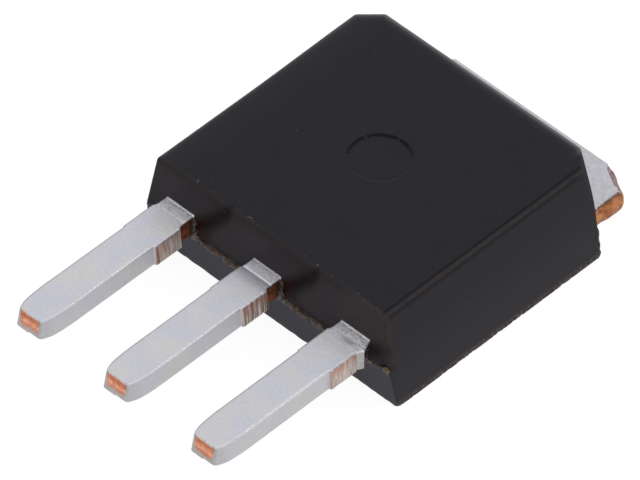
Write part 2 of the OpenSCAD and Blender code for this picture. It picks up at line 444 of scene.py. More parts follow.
def resin_flash():
    """Thin resin squeezed out between the mould halves: dark, with amber flecks where light passes through"""
    material, tree, shader, place = new_material("resin_flash")
    cloud = grain(tree, place, 7, 3)
    fine = grain(tree, place, 24, 2)
    base = tones(tree, cloud, (34, 25, 22), (58, 43, 33))
    base = coat(tree, base, ramp(tree, fine, 0.5, 0.68), 92, 66, 45)
    base = coat(tree, base, ramp(tree, grain(tree, place, 15, 1), 0.7, 0.78), 134, 116, 82)
    base = coat(tree, base, ramp(tree, grain(tree, place, 8, 1, shift=(0.002, 0, 0)), 0.58, 0.68), 86, 78, 74)
    base = coat(tree, base, broken(tree, "amber", grain(tree, place, 18, 1), 0.4, 0.6), 112, 86, 56)
    base = coat(tree, base, broken(tree, "pale", grain(tree, place, 12, 2), 0.38, 0.56), 122, 115, 114)
    base = coat(tree, base, value_of(tree, "dim"), 40, 32, 28)
    rough = ramp(tree, cloud, 0.3, 0.7, 0.4, 0.65)
    set_up(tree, shader, Base_Color=base, Roughness=rough, Specular_IOR_Level=0.3)
    roughen(tree, shader, fine, 0.006)
    return material


def tinned_strip():
    """Matte tin on copper, with the copper laid bare where the strip was sheared after plating"""
    material, tree, shader, place = new_material("tinned_strip")
    cloud = grain(tree, place, 1.6, 3)
    fine = grain(tree, place, 30, 2)
    mottle = grain(tree, place, 12, 3)
    edge_noise = grain(tree, place, 18, 3)

    tin = tones(tree, cloud, (200, 200, 211), (205, 204, 205))
    tin = coat(tree, tin, ramp(tree, fine, 0.35, 0.75, 0, 0.3), 186, 185, 192)
    # Painted light: lighter tin next to the wall and on the middle lead's coined strip
    tin = coat(tree, tin, value_of(tree, "bright"), 236, 235, 243)
    tin = coat(tree, tin, broken(tree, "dull", mottle, 0.25, 0.7), 178, 177, 185)
    tin = coat(tree, tin, broken(tree, "pitted", grain(tree, place, 26, 1), 0.5, 0.62), 138, 134, 136)
    tin = coat(tree, tin, value_of(tree, "hollow"), 128, 126, 128)
    tin = coat(tree, tin, broken(tree, "smear", mottle, 0.2, 0.6, 0.6, 1), 168, 166, 164)

    stripe = grain(tree, place, 1.0, 3, stretch=(0.6, 30, 0.9))
    streak = grain(tree, place, 1.0, 2, stretch=(2, 22, 3), shift=(0.003, 0, 0))
    cut = tones(tree, streak, (206, 195, 189), (182, 160, 150))
    cut = coat(tree, cut, broken(tree, "grooved", stripe, 0.52, 0.4), 84, 56, 46)
    cut = coat(tree, cut, value_of(tree, "brown_end"), 128, 84, 72)
    cut = coat(tree, cut, broken(tree, "salmon", mottle, 0.3, 0.55), 180, 124, 110)
    base = blend(tree, value_of(tree, "cut"), tin, cut)

    old = tones(tree, grain(tree, place, 9, 3), (108, 58, 38), (162, 84, 50))
    old = coat(tree, old, value_of(tree, "olive"), 66, 54, 36)
    base = blend(tree, frayed(tree, "old_copper", edge_noise, 0.85, 1.1), base, old)

    fresh = tones(tree, mottle, (186, 100, 62), (214, 136, 100), 0.3, 0.7)
    # Painted highlight: a lighter band across the middle of the tip's copper face
    fresh = coat(tree, fresh, broken(tree, "streak", edge_noise, 0.3, 0.6), 238, 186, 158)
    base = blend(tree, frayed(tree, "fresh_copper", edge_noise, 0.75, 1.3), base, fresh)

    tab = tones(tree, grain(tree, place, 5, 3, shift=(0.006, 0, 0)), (146, 86, 48), (192, 128, 84))
    pink = ramp(tree, grain(tree, place, 11, 3, shift=(0.001, 0.002, 0)), 0.54, 0.7, 0, 0.5)
    tab = coat(tree, tab, pink, 214, 160, 132)
    base = blend(tree, frayed(tree, "tab_copper", edge_noise, 0.9, 1.1), base, tab)
    grey = tones(tree, mottle, (124, 98, 98), (160, 136, 136))
    base = blend(tree, frayed(tree, "grey_cut", edge_noise, 0.9, 1.1), base, grey)

    # Dark burr lines, partly painted shade along the top and foot of the tab's sheared side
    base = coat(tree, base, broken(tree, "burr_and_shade_line", edge_noise, 0.3, 0.5), 88, 62, 52)
    base = coat(tree, base, broken(tree, "glint", grain(tree, place, 34, 1), 0.5, 0.6), 242, 241, 244)
    # Painted highlight on the lip of tin at the wall and the coined strip
    base = coat(tree, base, value_of(tree, "rim"), 250, 249, 251)
    base = coat(tree, base, value_of(tree, "left_line"), 118, 114, 120)
    rough = ramp(tree, fine, 0.3, 0.7, 0.42, 0.58)
    set_up(tree, shader, Base_Color=base, Roughness=rough, Metallic=0.7, Specular_IOR_Level=0.4)
    coarse = roughen(tree, shader, grain(tree, place, 7, 2), 0.005, 0.6)
    roughen(tree, shader, fine, 0.0025, 0.6, coarse)
    return material


def plain_metal(name, light, dark, per_mm, rough_low, rough_high, stretch=(1, 1, 1)):
    """Metal with a cloudy tone, for the solids inside the body"""
    material, tree, shader, place = new_material(name)
    cloud = grain(tree, place, per_mm, 3, stretch=stretch)
    base = tones(tree, cloud, dark, light, 0.3, 0.7)
    rough = ramp(tree, cloud, 0.3, 0.7, rough_low, rough_high)
    set_up(tree, shader, Base_Color=base, Roughness=rough, Metallic=0.9)
    roughen(tree, shader, cloud, 0.002, 0.5)
    return material


def floor_card():
    """White card that looks white to the camera and keeps the part's shadow"""
    material, tree, shader, place = new_material("floor_card")
    fibre = ramp(tree, grain(tree, place, 0.6, 3), 0.3, 0.7, 0.86, 0.88)
    set_up(tree, shader, Base_Color=fibre, Roughness=0.9, Specular_IOR_Level=0.0)
    shaded = add(tree, "ShaderNodeBsdfDiffuse", {"Color": (0.15, 0.15, 0.15, 1)})
    glow = add(tree, "ShaderNodeEmission", {"Color": (1, 1, 1, 1), "Strength": 0.91})
    seen = add(tree, "ShaderNodeAddShader", {0: shaded.outputs[0], 1: glow.outputs[0]})
    mixed = add(tree, "ShaderNodeMixShader", {0: looked_at(tree), 1: shader.outputs[0], 2: seen.outputs[0]})
    tree.links.new(mixed.outputs[0], tree.nodes["Material Output"].inputs["Surface"])
    return material


# Resin body


def right_half(z):
    """Half width on the right at a height"""
    turned = max(0.0, z - LEAD_UNDER + RIGHT_BEND / 2)
    turned = min(turned, RIGHT_BEND) ** 2 / (2 * RIGHT_BEND) + max(0.0, turned - RIGHT_BEND)
    return HALF_W - (z - turned) * math.tan(RIGHT_UNDER_DRAFT) - turned * math.tan(RIGHT_DRAFT)


def walls_at(z, side=1):
    """Half width on the right (1) or left (-1), lead wall and rear wall of the drafted body at a height"""
    over = z - LEAD_UNDER
    half = right_half(z) if side > 0 else HALF_W - z * math.tan(LEFT_DRAFT)
    front = FRONT_Y + (over * math.tan(FRONT_DRAFT) if over > 0 else -over * math.tan(UNDER_DRAFT))
    return half, front, REAR_Y - z * math.tan(REAR_DRAFT)


def corner_cut(x):
    """Size of the flat across the rear corner on the side of x"""
    return CORNER_CUT if x > 0 else LEFT_CUT


def on_wall(base, z, inset):
    """Where a point of the foot's outline lies at a height, inset from the drafted walls"""
    half, front, rear = walls_at(z, base.x)
    half, front, rear = half - inset, front + inset, rear - inset
    cut = corner_cut(base.x)
    across, flat = abs(base.x), HALF_W - cut
    x = half - (HALF_W - across) if across > flat else across * (half - cut) / flat
    if base.y > REAR_Y - cut:
        y = rear - (REAR_Y - base.y)
    else:
        share = (base.y - FOOT_FRONT_Y) / (REAR_Y - cut - FOOT_FRONT_Y)
        y = front + share * (rear - cut - front)
    return Vector((math.copysign(x, base.x), y, z))


def cut_corners(bm, corners, offset, segments):
    """Cuts or rounds corners of an outline"""
    shape = {"affect": "VERTICES", "profile": 0.5, "material": -1}
    bmesh.ops.bevel(bm, geom=corners, offset=offset, segments=segments, **shape)


def foot_outline():
    """The body's outline at its foot, as a face with fine edges"""
    bm = bmesh.new()
    bmesh.ops.create_grid(bm, x_segments=1, y_segments=1, size=1)
    for v in bm.verts:
        v.co.x *= HALF_W
        v.co.y = REAR_Y if v.co.y > 0 else FOOT_FRONT_Y
    for side in (1, -1):
        corner = [v for v in bm.verts if v.co.y > REAR_Y - 0.01 and v.co.x * side > HALF_W - 0.01]
        cut_corners(bm, corner, corner_cut(side), 1)
    cut_corners(bm, [v for v in bm.verts if v.co.y > 0], UPRIGHT_ROUND_REAR, 3)
    cut_corners(bm, [v for v in bm.verts if v.co.y < 0], UPRIGHT_ROUND_FRONT, 3)
    for edge in [e for e in bm.edges if e.calc_length() > 0.1]:
        cuts = round(edge.calc_length() / OUTLINE_STEP)
        bmesh.ops.subdivide_edges(bm, edges=[edge], cuts=cuts)
    return bm


def chipped(p, z):
    """How far the ragged foot and the lumps of flash move a point"""
    move = Vector((0, 0, 0))
    if p.x > HALF_W - 0.35 and z < CHIP_H:
        bite = max(0.0, wobble(p.y, fine=7, seed=2) + wobble(p.y, fine=19, seed=5))
        move.x -= CHIP_IN * bite * (1 - z / CHIP_H)
    if p.y < -2 and z < FRONT_CHIP_H:
        move.y += FRONT_CHIP_IN * max(0.0, wobble(p.x, fine=6, seed=9)) * (1 - z / FRONT_CHIP_H)
    blunt = BLUNT_CORNER - (HALF_W - p.x) - (p.y - FOOT_FRONT_Y)
    if blunt > 0 and z < BLUNT_H:
        move += Vector((-0.5, 0.5, 0)) * blunt * (1 - z / BLUNT_H)
    corner = p.x - (HALF_W - CORNER_CUT)
    if corner > 0 and p.y > REAR_Y - CORNER_CUT - 0.06 and z < LUMPS_TOP:
        lump = 0.45 + 0.8 * wobble(z, p.y, fine=5, seed=3) + 0.6 * wobble(z, p.y, fine=15, seed=6)
        lump = max(0.0, lump) * rise(LUMPS_TOP - z, 0, 0.2)
        out = LUMP_OUT * lump * rise(corner, 0.05, 0.3)
        move += Vector((0.2 * out, out, 0))
    return move


def top_round(p):
    """Rounding of the top edges: sharper towards the rear, on the left from the middle on"""
    start = -0.5 if p.x < 0 else REAR_Y - 0.75
    return TOP_ROUND - (TOP_ROUND - REAR_ROUND) * rise(p.y, start, REAR_Y - 0.45)


def body_levels():
    """Heights of the rings of points from the foot to the top face, each with its inset from the walls"""
    walls = steps(0.05, (0.6, 0.02), (0.9, 0.06), (1.1, 0.02), (2.1, 0.1), (BODY_H - TOP_ROUND, 0.06))
    levels = [(0.005, 0.005), (FOOT_ROUND, 0)]
    levels += [(z, 0) for z in walls]
    for i in range(1, ROUND_TURNS + 1):
        angle = math.pi / 2 * i / ROUND_TURNS
        levels.append((BODY_H - TOP_ROUND * (1 - math.sin(angle)), TOP_ROUND * (1 - math.cos(angle))))
    return levels + [(BODY_H, TOP_ROUND + gap) for gap in (0.006, 0.03, 0.06, 0.1, 0.2)]


def body_point(base, z, inset):
    """Place of a point of the walls or of the top edges' rounding"""
    share = top_round(base) / TOP_ROUND if z > BODY_H - TOP_ROUND else 1
    gap = max(0.0, inset - TOP_ROUND)
    point = on_wall(base, BODY_H - (BODY_H - z) * share, (inset - gap) * share + gap) + chipped(base, z)
    if z > BODY_H - TOP_ROUND and inset < TOP_ROUND:
        point.z -= 0.004 * abs(wobble(base.x, base.y, z, fine=9))
    return point


def resin_body(material):
    """The moulded body, drawn ring by ring from its foot to its top face"""
    bm = foot_outline()
    loop = list(bm.edges)
    base = {v: v.co.copy() for v in bm.verts}
    for v in bm.verts:
        v.co = on_wall(base[v], 0, FOOT_ROUND) + chipped(base[v], 0)
    for z, inset in body_levels():
        ring, loop = next_ring(bm, loop, base)
        for v in ring:
            v.co = body_point(base[v], z, inset)
    for v in bm.verts:
        v.co.x = max(-HALF_W, min(HALF_W, v.co.x))
        v.co.z = min(BODY_H, v.co.z)
    ejector_mark(bm, loop)
    bmesh.ops.recalc_face_normals(bm, faces=bm.faces)
    piece = finished(bm, "resin_body", material, "resin", "mould_body", sharp=50)
    seat_paddle(piece)
    return piece


def ejector_mark(bm, loop):
    """Closes the moulded front, with the ring that the ejector pin left in it"""
    centre = Vector((*PIN_MARK_AT, BODY_H))
    rings = [(PIN_MARK_R + 0.12, share, 0) for share in (0.12, 0.3, 0.6, 0.85, 1)]
    rings += [(PIN_MARK_R + gap, 1, dip) for gap, dip in PIN_MARK_PROFILE]
    start = {v: v.co.copy() for e in loop for v in e.verts}
    for radius, share, dip in rings:
        ring, loop = next_ring(bm, loop, start)
        for v in ring:
            arm = (start[v] - centre).normalized()
            v.co = start[v].lerp(centre + arm * radius, share)
            v.co.z = BODY_H + dip * (1 + 0.4 * wobble(arm.x, arm.y, fine=3))
    bmesh.ops.edgeloop_fill(bm, edges=loop)


def seat_paddle(piece):
    """Cuts the seat of the paddle out of the body's back, with the lips that hold it"""
    seats = [
        (TAB_HALF - LIP_W, PADDLE_Y, REAR_Y + 1, LIP_RISE),
        (TAB_HALF, LIP_END_Y, REAR_Y + 1, STRIP_T),
    ]
    for half, front, rear, height in seats:
        bm = bmesh.new()
        bmesh.ops.create_cube(bm, size=2)
        for v in bm.verts:
            v.co = Vector((half * v.co.x, rear if v.co.y > 0 else front, height if v.co.z > 0 else -1)) * MM
        cutter = new_object(bm, "paddle_seat")
        seat = piece.modifiers.new("paddle_seat", "BOOLEAN")
        seat.operation = "DIFFERENCE"
        seat.solver = "EXACT"
        seat.object = cutter
        bpy.context.view_layer.update()
        cut = bpy.data.meshes.new_from_object(piece.evaluated_get(bpy.context.evaluated_depsgraph_get()))
        piece.modifiers.clear()
        piece.data = cut
        bpy.data.objects.remove(cutter)


def wall_gaps(p):
    """A point's distances in from the right wall, the lead wall and the top face"""
    half, front, _ = walls_at(p.z)
    return half - p.x, p.y - front, BODY_H - p.z


def along_edge(gap, top, low, high, soft):
    """1 on the band of a top edge's rounding between low and high, from the top face to the wall"""
    turn = math.atan2(TOP_ROUND - top, TOP_ROUND - gap) / (math.pi / 2)
    return inside(turn, low, high, soft) if gap < TOP_ROUND and top < TOP_ROUND else 0


# How far forward, from the part's middle, the lead wall and its parting line begin
LEAD_WALL_REACH = (2.85, 2.93)
UNDER_WALL_REACH = (2.85, 2.9)
PARTING_REACH = (2.9, 3.0)


def body_paint(piece):
    """Where the resin is dirty or ragged, and where light, shade, highlights and reflections of the copper
    are painted on it
    """
    def lead_wall(p):
        return rise(-p.y, *LEAD_WALL_REACH) * rise(p.z, LEAD_UNDER, LEAD_UNDER + 0.05)

    def under_wall(p):
        half, _, _ = walls_at(p.z, p.x)
        across = fall(abs(p.x), half - 0.03, half)
        return rise(-p.y, *UNDER_WALL_REACH) * fall(p.z, LEAD_UNDER - 0.08, LEAD_UNDER) * across

    def side_wall(p):
        half, _, _ = walls_at(p.z)
        return rise(p.x, half - 0.04, half - 0.005) * fall(p.z, BODY_H - TOP_ROUND, BODY_H - 0.03)

    def upper_wall_shade(p):
        """Painted shade: the upper part of the side wall, a little darker"""
        return 0.16 * side_wall(p) * rise(p.z, 0.9, 2.1)

    # Painted reflection and shade of the leads on the lead wall: patches leaning up to the right of each
    # root, a band just above the parting line, and a faint tone near the top on the left
    def lead_reflection_and_shade(p):
        near_top = 0.18 * fall(BODY_H - p.z, 0.12, 0.4) * fall(p.x, 1.5, 2.3)
        beside = 0
        for centre, strength in ((-PITCH, 0.75), (0, 0.75), (PITCH, 0.5)):
            lean = p.x - centre - ROOT_HALF - 0.8 * max(0.0, p.z - 1.35)
            patch = inside(lean, 0.06, 0.44, 0.13) * rise(p.z, LEAD_UNDER + 0.05, LEAD_UNDER + 0.2)
            patch *= strength * fall(p.x - centre - ROOT_HALF, 0.8, 1.05)
            beside = max(beside, patch)
        above_flash = 0.4 * fall(p.z, LEAD_UNDER + 0.05, LEAD_UNDER + 0.2)
        return lead_wall(p) * max(near_top, beside, above_flash)

    def copper_root_reflection(p):
        """Painted reflection of the copper roots, red-brown on the resin beside them"""
        beside = max(inside(p.x - centre, 0.42, 0.62, 0.05) for centre in (-PITCH, 0))
        return 0.6 * lead_wall(p) * beside * inside(p.z, LEAD_UNDER + 0.03, LEAD_TOP + 0.02, 0.05)

    def ragged(p):
        """Broken edges that hold dust: the foot, the corner with its lumps, the parting line"""
        foot = fall(p.z, 0.04, 0.2)
        right = rise(p.x, HALF_W - 0.2, HALF_W - 0.1)
        corner = rise(p.y, REAR_Y - 0.55, REAR_Y - 0.4) * right * fall(p.z, 0.5, 0.7)
        parting = inside(p.z, LEAD_UNDER - 0.06, LEAD_UNDER + 0.04, 0.03) * rise(-p.y, *PARTING_REACH)
        parting *= 0.6 * fall(abs(p.x), HALF_W - 0.25, HALF_W - 0.2)
        return min(1.0, max(foot * right, 0.5 * foot, corner, parting))

    def edge_highlight_and_patch(p):
        """Painted highlight along the rounding of the top edges, strong on the right and faint at the front,
        and a lighter patch at the right of the lead wall
        """
        side, front, top = wall_gaps(p)
        lighter_patch = 0.9 * lead_wall(p) * rise(p.x, 1.7, 2.5) * rise(p.z, 1.3, 1.7)
        right_edge = along_edge(side, top, 0.36, 0.62, 0.12)
        return max(right_edge, 0.2 * along_edge(front, top, 0.15, 0.8, 0.15), lighter_patch)

    def far_edge_highlight(p):
        """Painted highlight on the rear and left top edges, bright at the edge and fading over the top face
        """
        half, _, rear = walls_at(p.z, p.x)
        flat = ((half - abs(p.x)) + (rear - p.y) - corner_cut(p.x)) * 0.7
        to_left = walls_at(p.z, -1)[0] + p.x
        light = 0
        for gap, strength in ((rear - p.y, 1.4), (flat, 1.0), (to_left, 0.6)):
            light = max(light, min(1.0, strength * math.exp(-max(0.0, gap - 0.03) / 0.035)))
        light += 0.045 * fall(to_left, 0, 0.9)
        return light * fall(BODY_H - p.z, 0.02, 0.06) * fall(p.x, 2.5, 2.7)

    def on_ring(p):
        """How much a point lies on the far half of the ejector pin's ring"""
        if p.z < BODY_H - 0.06:
            return 0
        arm = Vector((p.x - PIN_MARK_AT[0], p.y - PIN_MARK_AT[1]))
        far = rise(arm.y - arm.x, -0.3, 0.6)
        return far * inside(arm.length, PIN_MARK_R - 0.02, PIN_MARK_R + 0.04, 0.015)

    def shade_line(p):
        """Painted shade in lines above and below the highlight of the right edge, and on the far half of the
        ejector mark's ring
        """
        side, _, top = wall_gaps(p)
        below = 0.8 * along_edge(side, top, 0.78, 1.0, 0.1)
        above = 0.5 * along_edge(side, top, 0.0, 0.25, 0.1)
        return max(below, above, on_ring(p))

    def specks(p):
        _, front, top = wall_gaps(p)
        return max(along_edge(front, top, 0.55, 0.95, 0.15), 0.8 * on_ring(p))

    def coarse(p):
        """Where the resin is rough and shines less"""
        half, _, rear = walls_at(p.z, p.x)
        cut_off = (half - abs(p.x)) + (rear - p.y) - corner_cut(p.x)
        flat = 0.85 * fall(cut_off, 0.02, 0.05) * fall(p.z, BODY_H - 0.05, BODY_H)
        foot = 0.6 * fall(p.z, 0.02, 0.2) * rise(p.x, HALF_W - 0.25, HALF_W - 0.15)
        return max(flat, foot, 0.5 * under_wall(p))

    paint(piece, lead_wall, under_wall, side_wall, lead_reflection_and_shade, copper_root_reflection, ragged, edge_highlight_and_patch, far_edge_highlight, upper_wall_shade)
    paint(piece, shade_line, specks, coarse)


def flash_web(left_end, right_end):
    """The web along the parting line: lumpy, thin between the right lead and the corner, thick at its end"""
    bm = grid_block(steps(left_end, (right_end, 0.02)), [0, 0.3, 0.6, 0.85, 1], [0, 0.33, 0.67, 1])
    for v in bm.verts:
        x, out, up = v.co
        ragged = 0.4 + 0.5 * wobble(x, fine=4, seed=1) + 0.6 * wobble(x, up, fine=15, seed=4)
        end = fall(left_end - x, -0.3, -0.02) - rise(x, right_end - 0.04, right_end)
        thin = 1 - 0.7 * inside(x, PITCH + 0.5, right_end - 0.22, 0.05)
        length = FLASH_ROOT + FLASH_OUT * min(0.95, max(0.05, ragged)) * end * thin
        thick = (FLASH_THICK - FLASH_THINNER * out) * (1 + 0.7 * wobble(x, out, fine=7, seed=7))
        thick *= 0.3 + 0.7 * end
        thick *= 0.4 + 0.6 * thin
        middle = LEAD_UNDER - FLASH_BELOW + 0.02 * wobble(x, out, fine=7, seed=8)
        middle += FLASH_END_RISE * rise(x, right_end - 0.4, right_end - 0.12)
        v.co = Vector((x, FRONT_Y + FLASH_ROOT - out * length, middle + (up - 0.5) * thick))
    return bm


def lead_crust(centre, size):
    """A crust of resin up the right side of a lead's root"""
    bm = grid_block(steps(0, (1, 0.17)), steps(0, (1, 0.2)), steps(0, (1, 0.04)))
    for v in bm.verts:
        across, out, up = v.co
        lump = 0.6 + 0.8 * wobble(up, across, out, fine=6, seed=centre)
        lump *= size
        x = centre + ROOT_HALF - 0.03 + across * (0.03 + 0.15 * lump * (1 - 0.4 * up))
        y = FRONT_Y + CRUST_OUT - out * (CRUST_OUT + 0.07 * lump * (1 - 0.5 * up))
        v.co = Vector((x, y, CRUST_LOW + up * (0.3 + 0.16 * size)))
    return bm


def parting_flash(material):
    """Ragged web of resin along the parting line of the lead wall, with a crust beside each lead"""
    left_end = 0.01 - walls_at(LEAD_UNDER, -1)[0]
    right_end = walls_at(LEAD_UNDER)[0] - 0.01
    bm = flash_web(left_end, right_end)
    for centre, size in ((-PITCH, 1), (0, 1), (PITCH, 0.1)):
        take_in(bm, lead_crust(centre, size))
    bmesh.ops.recalc_face_normals(bm, faces=bm.faces)
    piece = finished(bm, "parting_flash", material, "resin", sharp=60)
    pale_spots = ((-PITCH, 1.0), (0, 0.7), (PITCH, 0.4))

    def pale(p):
        """The crusts beside the roots, paler at their foot"""
        beside = 0
        for centre, share in pale_spots:
            beside = max(beside, share * inside(p.x - centre, ROOT_HALF - 0.02, ROOT_HALF + 0.12, 0.03))
        return beside * (1 - 0.5 * rise(p.z, LEAD_UNDER + 0.02, LEAD_UNDER + 0.2))

    def amber(p):
        """The thick end at the corner, where light passes through"""
        return inside(p.x, right_end - 0.13, right_end, 0.03)

    def dim(p):
        """The thin web between the right lead and the corner"""
        return 0.8 * inside(p.x, PITCH + 0.5, right_end - 0.2, 0.06)

    paint(piece, pale, amber, dim)
    return piece


# Strip: leads, neck, paddle and tab


def lead_half(y, side, up, look):
    """Half width of a lead at a station, on its right (1) or left (-1) side, at a share of its thickness"""
    if side > 0 and look["swollen"] and y > STUB_FROM:
        at_wall = 0.22 + 0.16 * rise(up, 0.7, 0.95)
        return between(FRONT_Y - y, (-0.06, at_wall), (0.24, 0.51), (0.38, 0.43))
    straight = LEAD_HALF + 0.028 * (1 - up)
    if y > FRONT_Y + 0.2:
        return ROOT_HALF
    if y < TIP_Y + TIP_L:
        t = min(1.0, (TIP_Y + TIP_L - y) / TIP_L)
        tip = TIP_HALF + (0.02 * (1 - up) - 0.016 if side > 0 else 0.047 * (1 - up))
        return tip + (straight - tip) * math.sqrt(max(0.0, 1 - t * t))
    if side > 0:
        stub = inside(y, STUB_TO, STUB_FROM, 0.012)
        half = ROOT_HALF + (straight - ROOT_HALF) * rise(-y, -STUB_FROM - 0.1, -STUB_FROM)
        stub_half = RIGHT_STUB_HALF + 0.05 * (1 - up)
    else:
        stub = inside(y, STUB_TO - 0.03, STUB_FROM + 0.1, 0.02)
        half = ROOT_HALF + (straight - ROOT_HALF) * rise(-y, -STUB_FROM - 0.2, -STUB_FROM - 0.1)
        stub_half = LEFT_STUB_HALF + 0.03 * (1 - up)
    return half + (stub_half - half) * stub


def cut_ridges(y, up, seed):
    """Grooves that the shear leaves across the strip's thickness"""
    ridges = wobble(y, up * 0.02, fine=16, seed=seed) + 0.7 * wobble(y, up * 0.03, fine=34, seed=seed)
    return 0.008 * ridges


def dent_depth(x, y, wide, deep):
    """Share of the dent's full depth at a point of the lead's upper face"""
    away = math.hypot((x - DENT_AT[0]) / wide, (y - DENT_AT[1]) / deep)
    return math.exp(-away ** 2)


def lead_top_lift(x, y, look):
    """Height of the lead's upper face over its flat, with the coined strip at the wall or the dent"""
    lift = 0.003 * wobble(x, y, fine=3, seed=look["seed"]) + 0.0015 * wobble(x, y, fine=11, seed=look["seed"])
    near = rise(y, COIN_Y - 0.02, COIN_Y + 0.02)
    lift += look["step"] * near
    hollow = fall(COIN_Y - y, 0.0, 0.32)
    lift -= 0.012 * look["hollow"] * hollow * (1 - near)
    if look["dent"]:
        lift -= 0.012 * dent_depth(x, y, 0.17, 0.08)
        lift += 0.003 * wobble(x, y, fine=20, seed=6) * rise(y, FRONT_Y - 0.55, FRONT_Y - 0.3)
    lift += 0.01 * inside(y, FRONT_Y + 0.02, FRONT_Y + 0.06, 0.012)
    return lift


def lead_point(share, y, up, centre, look):
    """Place of a point of a lead: its share of the half width, its station, its share of the thickness"""
    side = 1 if share >= 0 else -1
    half = lead_half(y, side, up, look)
    if side > 0:
        along_cut = inside(y, STUB_TO + 0.01, STUB_FROM - 0.01, 0.01)
        half += look["ridges"] * cut_ridges(y, up, look["seed"]) * along_cut
    half += 0.003 * wobble(y, side, up, fine=7, seed=look["seed"])
    gaps = [half * (1 - abs(share)), y - TIP_Y, STRIP_T * min(up, 1 - up)]
    blunt = TIP_EDGE_MORE * fall(y, TIP_Y + 0.05, TIP_Y + 0.3) if side > 0 and up < 0.5 else 0
    side_gap, tip_gap, flat_gap = round_corner(gaps, LEAD_EDGE_R + blunt)
    x = side * (half - side_gap)
    z = LEAD_UNDER + (flat_gap if up < 0.5 else STRIP_T - flat_gap)
    if up == 0.5:
        z = LEAD_UNDER + STRIP_T / 2
    height = (z - LEAD_UNDER) / STRIP_T
    lean = TIP_LEAN * height * fall(y, TIP_Y, TIP_Y + 0.4)
    lift = lead_top_lift(x, y, look) * rise(height, 0.5, 1)
    burr = 0.007 * max(0.0, wobble(y, x, fine=15, seed=look["seed"] + 1)) * rise(x, half - 0.1, half - 0.04)
    lift += burr * rise(height, 0.7, 1)
    outside = fall(y, FRONT_Y + 0.1, FRONT_Y + 0.25)
    return Vector((centre + x, TIP_Y + tip_gap + lean, min(LEAD_TOP, z + (lift - TOP_SETTLE) * outside)))


EDGE_SHARES = (0.97, 0.93, 0.87, 0.8)
LEAD_SHARES = [-1, *(-s for s in EDGE_SHARES), *steps(-0.72, (0.72, 0.08)), *reversed(EDGE_SHARES), 1]
LEAD_UPS = [0, 0.03, 0.07, *steps(0.13, (0.87, 0.082)), 0.93, 0.97, 1]
# Two stations this close together keep the corner between them sharp
HAIR = 0.002


def lead_stations(*inner):
    """Stations along a lead from its tip: close together where the surface is busy"""
    tip = steps(TIP_Y, (TIP_Y + 0.02, 0.01), (TIP_Y + TIP_L, 0.027), (STUB_TO - 0.2, 0.05))
    stub = steps(STUB_TO - 0.2, (STUB_TO + 0.02, 0.02), (STUB_FROM, 0.015))
    root = steps(STUB_FROM, (FRONT_Y - 0.03, 0.013), (FRONT_Y + 0.08, 0.01), (FRONT_Y + 0.3, 0.07))
    return tip + stub[1:] + root[1:] + list(inner)


def lead_grid(centre, look, inner, widen):
    """A lead from its tip to its last station inside the body, where its half width is widen's"""
    bm = grid_block(LEAD_SHARES, lead_stations(*inner), LEAD_UPS)
    for v in bm.verts:
        share, y, up = v.co
        v.co = lead_point(share, y, up, centre, look)
        if y > FRONT_Y + 0.31:
            v.co = Vector((centre + widen(share, y), y, LEAD_UNDER + up * STRIP_T))
    return bm


def outer_lead(name, node, side, look, material):
    """An outer lead with its bond post; the post reaches further in than out"""
    post_rear = POST_Y + POST_L
    inner = [POST_Y - HAIR, POST_Y, POST_Y + 0.3, post_rear - POST_CUT, post_rear]

    def widen(share, y):
        if y < POST_Y - HAIR / 2:
            return share * ROOT_HALF
        if share * side > 0:
            return share * POST_OUT
        return share * (POST_IN - max(0.0, y - post_rear + POST_CUT))

    return finished(lead_grid(side * PITCH, look, inner, widen), name, material, "tinned_copper", node)


def faces_of(geom):
    """The faces among the results of an operator"""
    return [g for g in geom if isinstance(g, bmesh.types.BMFace)]


def collector_strip(look, material):
    """Middle lead, neck with its two bends, paddle and tab in one strip"""
    def widen(share, y):
        return share * (ROOT_HALF if y < NECK_Y - HAIR / 2 else NECK_HALF)

    def bend(faces, centre, angle):
        about = {"axis": (1, 0, 0), "cent": centre, "dvec": (0, 0, 0), "angle": angle}
        return bmesh.ops.spin(bm, geom=faces, steps=BEND_STEPS, use_duplicate=False, **about)["geom_last"]

    bm = lead_grid(0, look, [NECK_Y - HAIR, NECK_Y], widen)
    inner_end = [f for f in bm.faces if all(abs(v.co.y - NECK_Y) < 1e-4 for v in f.verts)]
    turned = faces_of(bend(inner_end, (0, NECK_Y, LEAD_UNDER - BEND_R), -NECK_ANGLE))
    slope = Vector((0, math.cos(NECK_ANGLE), -math.sin(NECK_ANGLE))) * NECK_STRAIGHT
    grown = bmesh.ops.extrude_face_region(bm, geom=turned)["geom"]
    bmesh.ops.translate(bm, vec=slope, verts=[g for g in grown if isinstance(g, bmesh.types.BMVert)])
    end = faces_of(grown)
    bend(end, (0, PADDLE_Y, BEND_R + STRIP_T), NECK_ANGLE)
    bmesh.ops.delete(bm, geom=inner_end + turned + end, context="FACES_ONLY")

    take_in(bm, paddle_and_tab())
    joint = [f for f in bm.faces if all(abs(v.co.y - PADDLE_Y) < 1e-4 for v in f.verts)]
    joint = [f for f in joint if all(abs(v.co.x) < NECK_HALF + 1e-4 for v in f.verts)]
    bmesh.ops.delete(bm, geom=joint, context="FACES_ONLY")
    bmesh.ops.remove_doubles(bm, verts=bm.verts, dist=0.0008)
    loose = [v for v in bm.verts if not v.link_faces]
    bmesh.ops.delete(bm, geom=loose, context="VERTS")
    return finished(bm, "collector_strip", material, "tinned_copper", "collector_frame")


def tab_half(y):
    """Half width of the paddle and tab at a station"""
    return TAB_HALF - TAB_CUT_X * max(0.0, (y - TAB_Y + TAB_CUT_Y) / TAB_CUT_Y)


